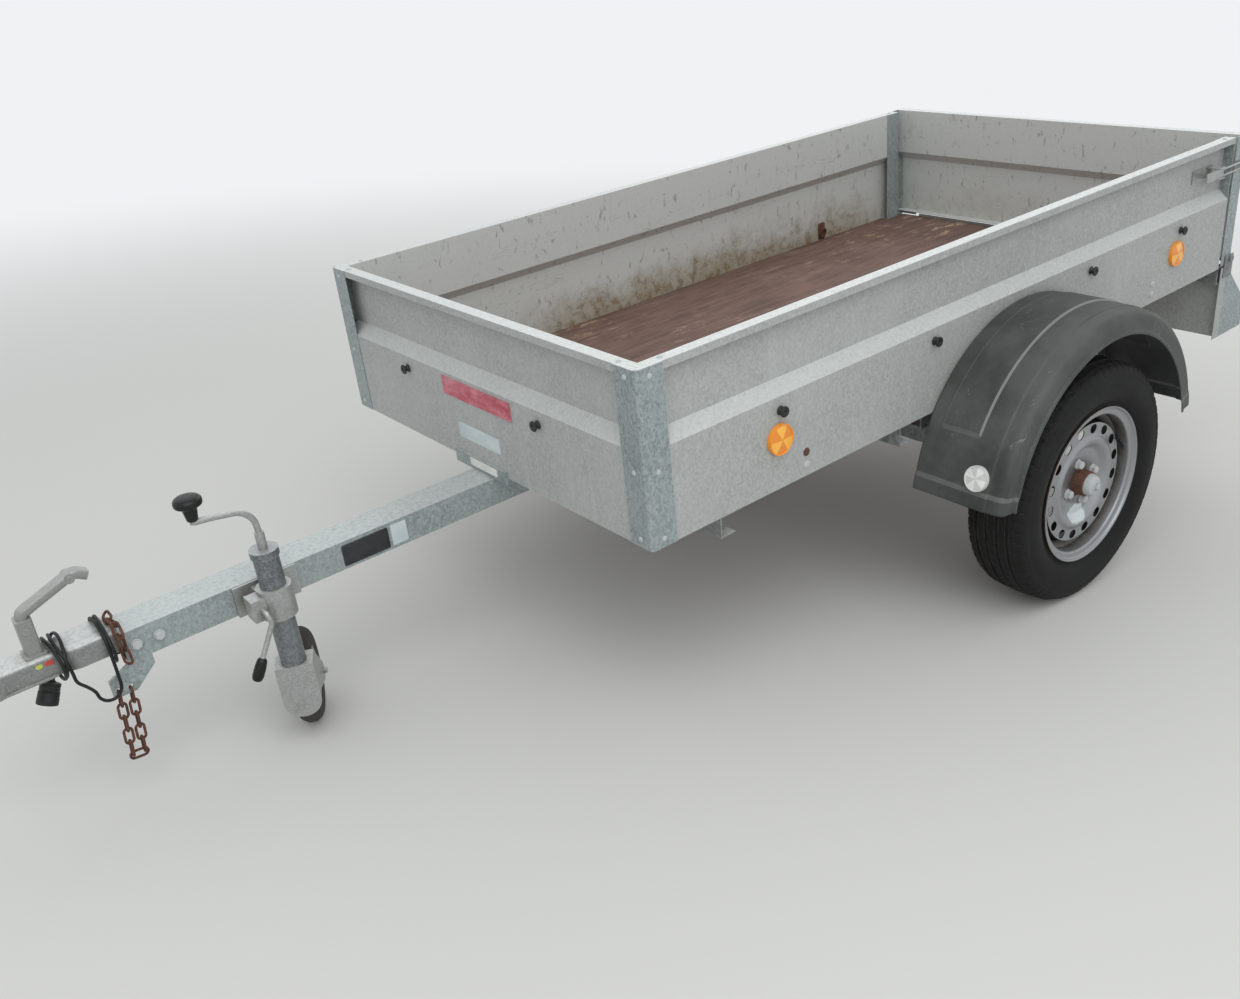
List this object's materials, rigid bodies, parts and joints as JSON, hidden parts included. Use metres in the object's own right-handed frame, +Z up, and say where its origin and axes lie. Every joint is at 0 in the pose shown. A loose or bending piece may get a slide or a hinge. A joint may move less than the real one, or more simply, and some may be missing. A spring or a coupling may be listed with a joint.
{
  "type": "utility trailer",
  "caption": "Galvanised single-axle box trailer with a hinged tailgate, black mudguards, drawbar with ball coupler and a jockey wheel",
  "frame": {"origin": "centre of the parked trailer's box, on the floor that its three wheels stand on", "axes": "+X forward along the drawbar, +Y left, +Z up; the trailer stands 5.2 degrees nose down"},
  "size_m": [3.2402, 1.57, 0.9527],
  "materials": {
    "galvanised_sheet": "hot-dip galvanised sheet, dull, with faint spangle, streaks and dirt",
    "galvanised_steel": "hot-dip galvanised steel section, dull grey, weathered",
    "zinc_plated_steel": "bright zinc-plated steel, slightly dulled",
    "plywood": "film-faced plywood, brown, scuffed and dusty",
    "tyre": "black rubber, dusty",
    "silver_wheel_paint": "silver wheel paint, satin",
    "rusty_hub": "rusty hub, bolts and grease cap",
    "black_plastic": "black moulded plastic, matt",
    "grey_rubber": "solid rubber tyre on a plastic rim, dusty",
    "amber_reflector": "amber prismatic reflector",
    "white_reflector": "white prismatic reflector",
    "lamp_lens": "red lamp lens with amber and clear fields",
    "red_plate": "blank red plate",
    "blank_plate": "blank registration plate place, pale",
    "rusty_chain": "rusty steel chain",
    "black_cable": "black cable sheath",
    "black_plug": "black moulded plug"
  },
  "bodies": {
    "root": {"axle_beam": "galvanised_steel", "axle_brackets": "galvanised_steel", "cable": "black_cable", "cable_coils": "black_cable", "catches": "zinc_plated_steel", "coupler_body": "zinc_plated_steel", "coupler_bolts": "galvanised_steel", "coupler_handle": "zinc_plated_steel", "crossmembers": "galvanised_steel", "drawbar": "galvanised_steel", "drawbar_saddle": "galvanised_steel", "floor_panel": "plywood", "front_bracket": "galvanised_steel", "front_plate": "red_plate", "front_posts": "galvanised_sheet", "jockey_clamp": "zinc_plated_steel", "jockey_clamp_lever": "zinc_plated_steel", "jockey_crank": "zinc_plated_steel", "jockey_knob": "black_plastic", "jockey_outer_tube": "zinc_plated_steel", "lamp_guards": "galvanised_sheet", "light_panel": "galvanised_sheet", "mudguard_left": "black_plastic", "mudguard_reflectors": "white_reflector", "mudguard_right": "black_plastic", "plug": "black_plug", "rear_jambs": "galvanised_sheet", "rear_plate": "blank_plate", "rope_hooks": "black_plastic", "safety_chain": "rusty_chain", "side_reflectors": "amber_reflector", "suspension_arm_left": "galvanised_steel", "suspension_arm_right": "galvanised_steel", "tail_lamps": "black_plastic", "tail_lenses": "lamp_lens", "tailgate_pivots": "galvanised_steel", "wall_front": "galvanised_sheet", "wall_left": "galvanised_sheet", "wall_right": "galvanised_sheet"},
    "tailgate": {"tailgate_panel": "galvanised_sheet", "tailgate_posts": "galvanised_sheet"},
    "wheel_left": {"wheel_left_tyre": "tyre", "wheel_left_rim": "silver_wheel_paint", "wheel_left_hub": "rusty_hub"},
    "wheel_right": {"wheel_right_tyre": "tyre", "wheel_right_rim": "silver_wheel_paint", "wheel_right_hub": "rusty_hub"},
    "jockey_leg": {"jockey_fork": "zinc_plated_steel", "jockey_axle": "zinc_plated_steel"},
    "jockey_wheel": {"jockey_wheel": "grey_rubber"}
  },
  "joints": [
    {"name": "tailgate_hinge", "type": "hinge", "parent": "root", "child": "tailgate", "pos_m": [-1.48131, 0, 0.6246], "axis": [0, -1, 0], "range_deg": [0, 125]},
    {"name": "wheel_left_spin", "type": "hinge", "parent": "root", "child": "wheel_left", "pos_m": [-0.55226, 0.694, 0.285], "axis": [0, 1, 0], "continuous": true},
    {"name": "wheel_right_spin", "type": "hinge", "parent": "root", "child": "wheel_right", "pos_m": [-0.55226, -0.694, 0.285], "axis": [0, 1, 0], "continuous": true},
    {"name": "jockey_slide", "type": "slide", "parent": "root", "child": "jockey_leg", "axis": [-0.0906, 0, -0.9959], "range_m": [0, 0.2]},
    {"name": "jockey_wheel_spin", "type": "hinge", "parent": "jockey_leg", "child": "jockey_wheel", "pos_m": [1.04074, 0.01226, 0.09783], "axis": [0.8873, -0.454, -0.0808], "continuous": true}
  ]
}
